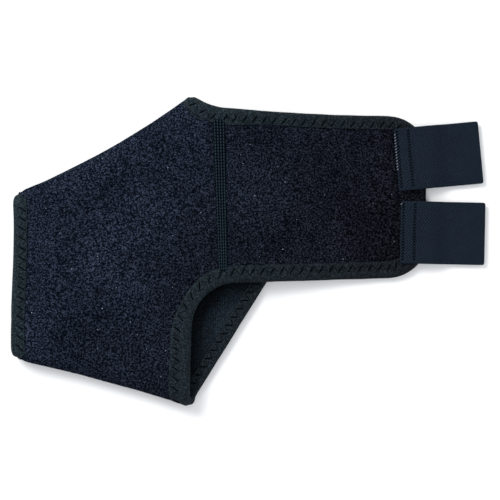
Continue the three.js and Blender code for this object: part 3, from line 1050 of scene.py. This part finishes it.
def seam_band():
    """Points across and along the seam, as seen from above."""
    top, bottom = band_high.y + BAND_TUCK, band_low.y - BAND_TUCK
    columns = round((top - bottom) / BAND_STEP)
    points = np.zeros((columns + 1, SEAM_ROWS + 1, 3))
    for i in range(columns + 1):
        share = i / columns
        y = top + (bottom - top) * share
        width = (BAND_TOP_WIDTH + (BAND_LOW_WIDTH - BAND_TOP_WIDTH) * share) * mm
        middle = FOLD_X + SEAM_DISTANCE - BAND_LEAN * (1 - share) + BAND_ASIDE
        for j in range(SEAM_ROWS + 1):
            x = middle + width * (j / SEAM_ROWS - 0.5)
            points[i, j] = (x, y, 0)
    return points


seam_points = seam_band()
level = np.array([[top_at(x, y) for x, y, _ in row] for row in seam_points])
level = softened(softened(np.nanmax(level, axis=1), 4)[:, None], 2)
across = np.abs(np.linspace(-1, 1, SEAM_ROWS + 1))[None, :]
seam_points[..., 2] = level + BAND_RISE - BAND_EDGE_DROP * across ** 4
seam_cover, seam_length, _ = strip_piece("seam_cover", seam_points, SEAM_THICKNESS,
                                         SEAM_GROUND)
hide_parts("wrap_seam")

# %% [markdown]
# Four rows of stitches run down the band. They lean to one side in every other row, and to the
# other side between, as the ribs of a knit do.

# %% Seam stitches
SEAM_NEEDLES = 4
SEAM_PITCH = 1.9 * mm
SEAM_THREAD_RADIUS = 0.4 * mm
SEAM_LEAN = 0.9
SEAM_ARCH = 0.34
SEAM_SINK = 0.12


def seam_stitches():
    read = strip_reader(seam_points)
    columns = len(seam_points) - 1
    per_stitch = SEAM_PITCH / seam_length * columns
    lines = []
    for needle in range(SEAM_NEEDLES):
        row = (needle + 0.5) / SEAM_NEEDLES * SEAM_ROWS
        lean = SEAM_LEAN if needle % 2 else -SEAM_LEAN
        for stitch in range(int(columns / per_stitch)):
            spots = [read((stitch + 0.1 + 0.85 * t) * per_stitch, row + lean * (t - 0.5),
                          (SEAM_ARCH * math.sin(math.pi * t) - SEAM_SINK) * mm)
                     for t in np.linspace(0, 1, 6)]
            lines.append(tuple(np.array(values) for values in zip(*spots)))
    return lines


seam_stitching = add_threads("seam_stitches", seam_stitches(), SEAM_THREAD_RADIUS, SEAM_THREAD)

# %% [markdown]
# ## Elastic straps
# Each strap is a length of woven elastic sewn on the wrap's end. It lies on the wrap and on the
# tape, then sinks towards the table where the wrap ends. It could fall there in a simulation, but
# the photographed drop is already in the solid. So a strip is laid along the solid's top face,
# with its corners cut a little round.

# %% Straps
STRAP_THICKNESS = 1.5 * mm
STRAP_LENGTH = 54.5 * mm
STRAP_WIDTH = 40 * mm
STRAP_TURN = {"upper": math.radians(5.4), "lower": math.radians(-1.2)}
STRAP_COLUMNS, STRAP_ROWS = 78, 58
STRAP_CORNER = 1.4 * mm
STRAP_MARGIN = 0.2 * mm


def solid_tree(name):
    bm = merged_copy(name)
    tree = BVHTree.FromBMesh(bm)
    bm.free()
    return tree


def strap_points(which):
    """Top face of a strap, read from its solid along the strap's own directions."""
    tree = solid_tree(f"{which}_strap")
    low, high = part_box(f"{which}_strap")
    turn = STRAP_TURN[which]
    along = Vector((math.cos(turn), math.sin(turn)))
    up = Vector((-math.sin(turn), math.cos(turn)))
    centre = (low + high).xy / 2
    points = np.zeros((STRAP_COLUMNS + 1, STRAP_ROWS + 1, 3))
    for i in range(STRAP_COLUMNS + 1):
        for j in range(STRAP_ROWS + 1):
            a = (i / STRAP_COLUMNS - 0.5) * (STRAP_LENGTH - STRAP_MARGIN)
            b = (j / STRAP_ROWS - 0.5) * (STRAP_WIDTH - STRAP_MARGIN)
            end = STRAP_LENGTH / 2 - STRAP_CORNER
            side = STRAP_WIDTH / 2 - STRAP_CORNER
            over = Vector((max(0, abs(a) - end), max(0, abs(b) - side)))
            if min(over) > 0:
                pull = max(over) / over.length
                a = math.copysign(end + over.x * pull, a)
                b = math.copysign(side + over.y * pull, b)
            spot = centre + along * a + up * b
            points[i, j] = (*spot, top_at(*spot, tree))
    for column in points.transpose(1, 0, 2):
        column[:, 2] = filled(column[:, 2])
    return points


print("straps are", round(STRAP_WIDTH / mm), "mm wide")

# %% Needle holes and strips
NEEDLE_ROWS = [1.5 * mm, 9 * mm]
STRAP_PITCH = 1.85 * mm
NEEDLE_DEPTH = 0.28 * mm
NEEDLE_SPREAD = 0.8 * mm
RIM_DROP = 0.3 * mm
RIM_SPREAD = 0.6 * mm


def strap_dents(points):
    """Needle holes pulled into a strap, and its edges pressed a little flatter."""
    along = np.linspace(0, STRAP_LENGTH, len(points))[:, None]
    across = np.linspace(0, STRAP_WIDTH, points.shape[1])[None, :]
    pulse = 0.5 - 0.5 * np.cos(2 * math.pi * across / STRAP_PITCH)
    for row in NEEDLE_ROWS:
        near_row = np.exp(-((along - row) / NEEDLE_SPREAD) ** 2)
        points[..., 2] -= NEEDLE_DEPTH * near_row * (0.4 + pulse)
    rim = np.minimum(np.minimum(along, STRAP_LENGTH - along),
                     np.minimum(across, STRAP_WIDTH - across))
    points[..., 2] -= RIM_DROP * np.exp(-(rim / RIM_SPREAD) ** 2)


straps, strap_pieces = {}, {}
for which in STRAP_TURN:
    points = strap_points(which)
    points[..., 2] = softened(softened(points[..., 2], 3).T, 2).T
    strap_dents(points)
    strap, *_ = strip_piece(f"{which}_elastic", points, STRAP_THICKNESS, ELASTIC)
    straps[which] = points
    strap_pieces[which] = (strap, [])
    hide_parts(f"{which}_strap")

# %% [markdown]
# Two rows of dark, leaning stitches hold each strap, one close to its sewn end and one farther in.
# Over the end itself a pale thread shows, along much of the upper strap and at one corner of the
# lower one.

# %% Strap stitches
STRAP_STITCH_ARCH = 0.2 * mm
STRAP_STITCH_LEAN = 0.024
PALE_RADIUS = 0.24 * mm
DARK_RADIUS = 0.33 * mm


def strap_stitches(points, inset, reach, rows, lift=0.12 * mm):
    """Leaning stitches across a share of the strap, at a distance in from its sewn end."""
    read = strip_reader(points)
    columns, lines = STRAP_COLUMNS / STRAP_LENGTH, []
    for stitch in range(int(STRAP_WIDTH / STRAP_PITCH)):
        share = (stitch + 0.5) * STRAP_PITCH / STRAP_WIDTH
        if not rows[0] <= share <= rows[1]:
            continue
        spots = [read((inset + reach * (t - 0.5)) * columns,
                      (share + STRAP_STITCH_LEAN * (t - 0.5)) * STRAP_ROWS,
                      lift + STRAP_STITCH_ARCH * math.sin(math.pi * t))
                 for t in np.linspace(0, 1, 6)]
        lines.append(tuple(np.array(values) for values in zip(*spots)))
    return lines


for which, points in straps.items():
    pale = (0.32, 0.94) if which == "upper" else (0.92, 1.0)
    light = strap_stitches(points, 0.35 * mm, 1.3 * mm, pale, -0.02 * mm)
    dark = strap_stitches(points, NEEDLE_ROWS[0] + 0.3 * mm, 1.7 * mm, (0.03, 0.97))
    dark += strap_stitches(points, NEEDLE_ROWS[1], 1.9 * mm, (0.03, 0.97))
    strap_pieces[which][1].extend([
        add_threads(f"{which}_pale_stitches", light, PALE_RADIUS, PALE_THREAD),
        add_threads(f"{which}_dark_stitches", dark, DARK_RADIUS, THREAD)])

# %% [markdown]
# ## Hook pads
# Under each strap end a pad of hook tape is sewn. Its hundreds of hooks could each be modelled, but
# it stays hidden, so it is one plain plate with round corners, and the finish suggests the hooks.

# %% Pads
PAD_CORNER = 2 * mm

for which in STRAP_TURN:
    bm = merged_copy(f"{which}_hook_pad")
    bmesh.ops.dissolve_limit(bm, angle_limit=0.01, verts=bm.verts, edges=bm.edges)
    upright_edges = [e for e in bm.edges if abs(e.verts[0].co.z - e.verts[1].co.z) > 1 * mm]
    bmesh.ops.bevel(bm, geom=upright_edges, offset=PAD_CORNER, segments=4, affect="EDGES",
                    profile=0.5, material=-1)
    pad = add_piece(f"{which}_hook_plate", bm, HOOK)
    for face in pad.data.polygons:
        face.use_smooth = False
    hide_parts(f"{which}_hook_pad")
    strap_pieces[which][1].append(pad)
    print(pad.name, len(pad.data.polygons), "faces")

# %% [markdown]
# ## Flat sizes
# Each sewn piece was cut flat. The sleeve was cut as front and back in one, and folded. The cut of
# the wrap has two round corners. The tapes' sizes are the mean width and the length of the strips
# laid above.

print("flat sizes: the tapes' lengths and widths are printed with their strips")
